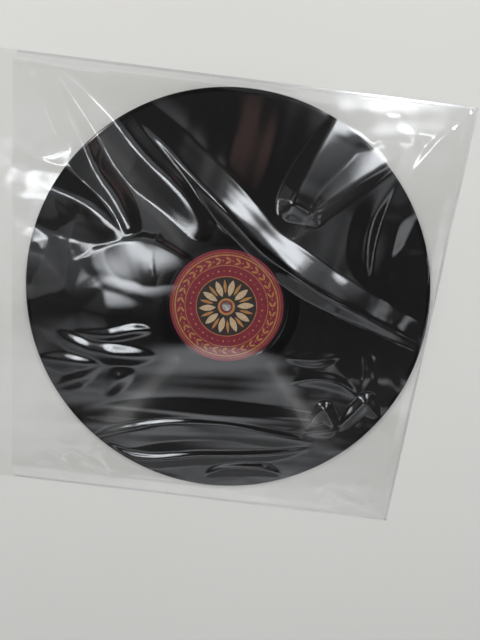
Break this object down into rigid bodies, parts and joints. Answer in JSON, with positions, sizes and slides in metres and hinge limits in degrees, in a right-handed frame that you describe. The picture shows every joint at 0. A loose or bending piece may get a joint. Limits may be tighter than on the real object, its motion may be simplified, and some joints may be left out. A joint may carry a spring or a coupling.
{
  "type": "shellac record",
  "caption": "Flat round shellac gramophone record with a spindle hole, a spiral groove and paper labels, in a clear film sleeve that slides off sideways.",
  "frame": {"origin": "on the spindle axis, at the lower face of the disc", "axes": "+Z along the spindle axis, out of the front label; +X towards the sleeve's closed end, so its mouth is at -X; +Y towards the upper seam"},
  "size_m": [0.325, 0.321, 0.008],
  "materials": {
    "shellac": "gloss",
    "label_paper": "satin",
    "clear_film": "gloss"
  },
  "bodies": {
    "record": {"disc": "shellac", "front_label": "label_paper", "back_label": "label_paper"},
    "sleeve": {"front_film": "clear_film", "back_film": "clear_film", "top_seam": "clear_film", "bottom_seam": "clear_film", "end_seam": "clear_film"}
  },
  "joints": [
    {"name": "sleeve_slide", "type": "slide", "parent": "record", "child": "sleeve", "axis": [1, 0, 0], "range_m": [0, 0.34]}
  ]
}
